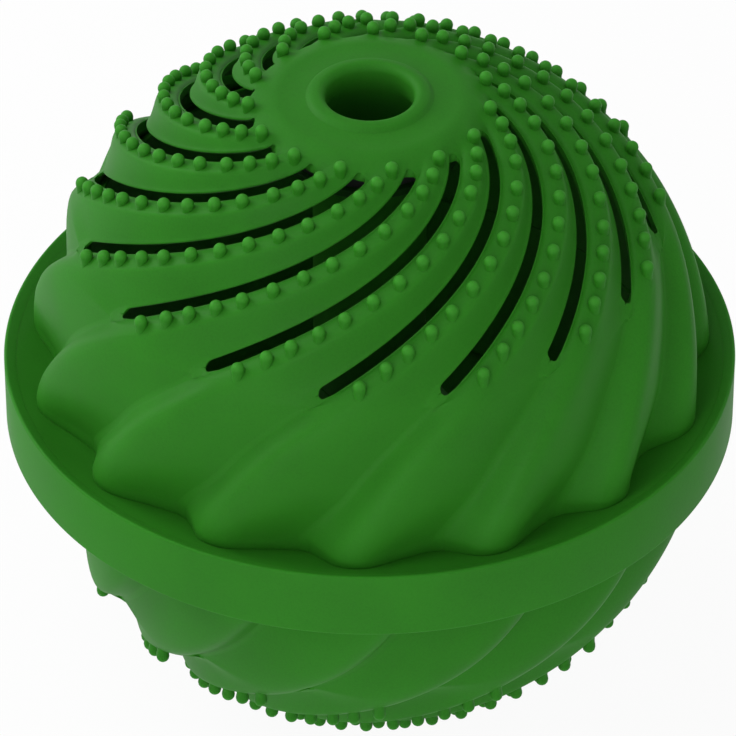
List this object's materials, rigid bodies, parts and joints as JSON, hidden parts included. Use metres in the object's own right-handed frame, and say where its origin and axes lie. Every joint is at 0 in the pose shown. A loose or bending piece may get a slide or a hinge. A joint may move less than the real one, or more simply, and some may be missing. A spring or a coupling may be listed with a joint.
{
  "type": "laundry ball",
  "caption": "Slotted plastic ball for a washing machine: two ridged half shells in a plain rim band, a hole right through, with ring magnets and loose ceramic pellets inside.",
  "frame": {"origin": "centre of the ball, on the axis of the through hole, halfway up the rim band", "axes": "+Z along the through hole towards the upper hub, -Y towards the viewer of the picture"},
  "size_m": [0.108, 0.108, 0.1004],
  "materials": {
    "shell_green": "satin moulded plastic",
    "band_green": "satin moulded plastic",
    "magnet_metal": "dark sintered ferrite",
    "retainer_green": "plain moulded plastic",
    "pellet_cream": "unglazed fired ceramic",
    "pellet_terracotta": "unglazed fired ceramic",
    "pellet_grey": "unglazed fired ceramic",
    "pellet_brown": "unglazed fired ceramic"
  },
  "bodies": {
    "lower_half": {"lower_shell": "shell_green", "lower_ring_magnet": "magnet_metal", "lower_magnet_retainer": "retainer_green"},
    "band": {"rim_band": "band_green"},
    "upper_half": {"upper_shell": "shell_green", "upper_ring_magnet": "magnet_metal", "upper_magnet_retainer": "retainer_green"},
    "pellet_load": {"pellet_cream_01": "pellet_cream", "pellet_terracotta_01": "pellet_terracotta", "pellet_grey_01": "pellet_grey", "pellet_brown_01": "pellet_brown", "pellet_cream_02": "pellet_cream", "pellet_terracotta_02": "pellet_terracotta", "pellet_grey_02": "pellet_grey", "pellet_brown_02": "pellet_brown", "pellet_cream_03": "pellet_cream", "pellet_terracotta_03": "pellet_terracotta", "pellet_grey_03": "pellet_grey", "pellet_brown_03": "pellet_brown", "pellet_cream_04": "pellet_cream", "pellet_terracotta_04": "pellet_terracotta", "pellet_grey_04": "pellet_grey", "pellet_brown_04": "pellet_brown", "pellet_cream_05": "pellet_cream", "pellet_terracotta_05": "pellet_terracotta", "pellet_grey_05": "pellet_grey", "pellet_brown_05": "pellet_brown", "pellet_cream_06": "pellet_cream", "pellet_terracotta_06": "pellet_terracotta", "pellet_grey_06": "pellet_grey", "pellet_brown_06": "pellet_brown", "pellet_cream_07": "pellet_cream", "pellet_terracotta_07": "pellet_terracotta", "pellet_grey_07": "pellet_grey", "pellet_brown_07": "pellet_brown", "pellet_cream_08": "pellet_cream", "pellet_terracotta_08": "pellet_terracotta", "pellet_grey_08": "pellet_grey", "pellet_brown_08": "pellet_brown", "pellet_cream_09": "pellet_cream", "pellet_terracotta_09": "pellet_terracotta", "pellet_grey_09": "pellet_grey", "pellet_brown_09": "pellet_brown", "pellet_cream_10": "pellet_cream", "pellet_terracotta_10": "pellet_terracotta", "pellet_grey_10": "pellet_grey", "pellet_brown_10": "pellet_brown", "pellet_cream_11": "pellet_cream", "pellet_terracotta_11": "pellet_terracotta", "pellet_grey_11": "pellet_grey", "pellet_brown_11": "pellet_brown", "pellet_cream_12": "pellet_cream", "pellet_terracotta_12": "pellet_terracotta", "pellet_grey_12": "pellet_grey", "pellet_brown_12": "pellet_brown"}
  },
  "joints": [
    {"name": "band_twist", "type": "hinge", "parent": "lower_half", "child": "band", "pos_m": [0, 0, 0], "axis": [0, 0, 1], "continuous": true},
    {"name": "upper_lift", "type": "slide", "parent": "band", "child": "upper_half", "axis": [0, 0, 1], "range_m": [0, 0.07]},
    {"name": "pellet_fall", "type": "slide", "parent": "lower_half", "child": "pellet_load", "axis": [0, 0, 1], "range_m": [0, 0.074]}
  ]
}
